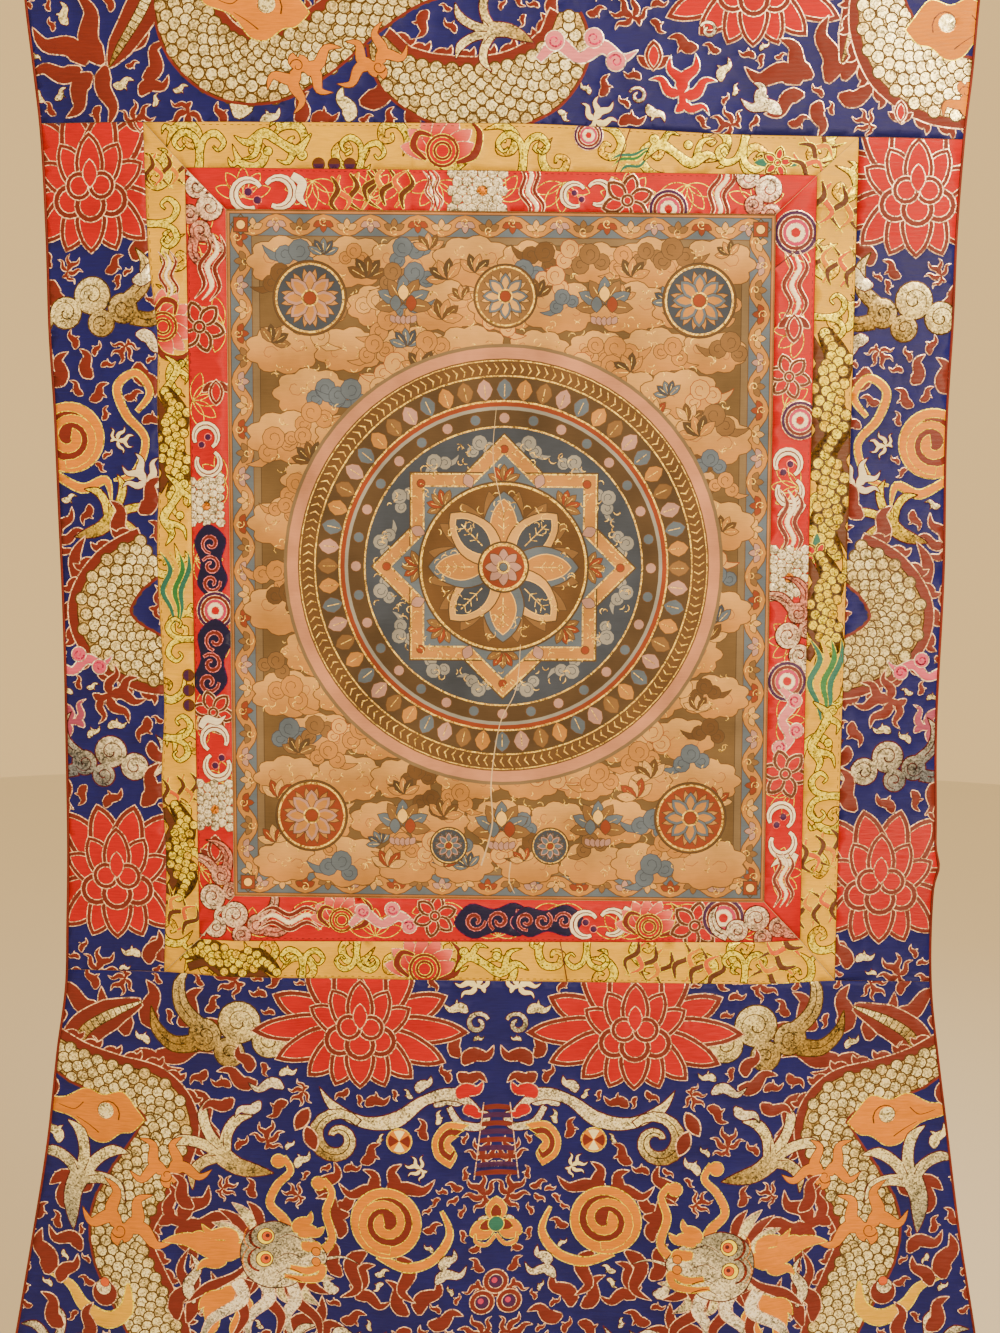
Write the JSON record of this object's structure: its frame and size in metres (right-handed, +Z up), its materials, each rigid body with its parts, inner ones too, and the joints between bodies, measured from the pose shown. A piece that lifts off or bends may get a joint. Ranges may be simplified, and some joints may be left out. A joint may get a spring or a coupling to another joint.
{
  "type": "thangka scroll painting",
  "caption": "Hanging painted cloth framed by mitred red and yellow silk strips and blue brocade panels, flared at the foot, with bound side edges.",
  "frame": {"origin": "middle of the top edge, where the scroll is held", "axes": "+Z up along the hanging cloth, the painted face looks along -Y, +X to the viewer's right"},
  "size_m": [0.7807, 0.0296, 1.2],
  "materials": {
    "painted_cloth": "matt mineral paint with gold on fine cotton",
    "red_silk": "satin silk with metal thread",
    "yellow_silk": "satin silk with metal thread",
    "blue_brocade": "satin ground with silk and metal thread figures",
    "maroon_cloth": "plain matt cloth"
  },
  "bodies": {
    "root": {"painting": "painted_cloth", "red_strip_top": "red_silk", "red_strip_left": "red_silk", "red_strip_right": "red_silk", "red_strip_bottom": "red_silk", "yellow_strip_top": "yellow_silk", "yellow_strip_left": "yellow_silk", "yellow_strip_right": "yellow_silk", "yellow_strip_bottom": "yellow_silk", "brocade_top": "blue_brocade", "brocade_left": "blue_brocade", "brocade_right": "blue_brocade", "brocade_bottom": "blue_brocade", "edge_binding_left": "maroon_cloth", "edge_binding_right": "maroon_cloth"}
  },
  "joints": []
}
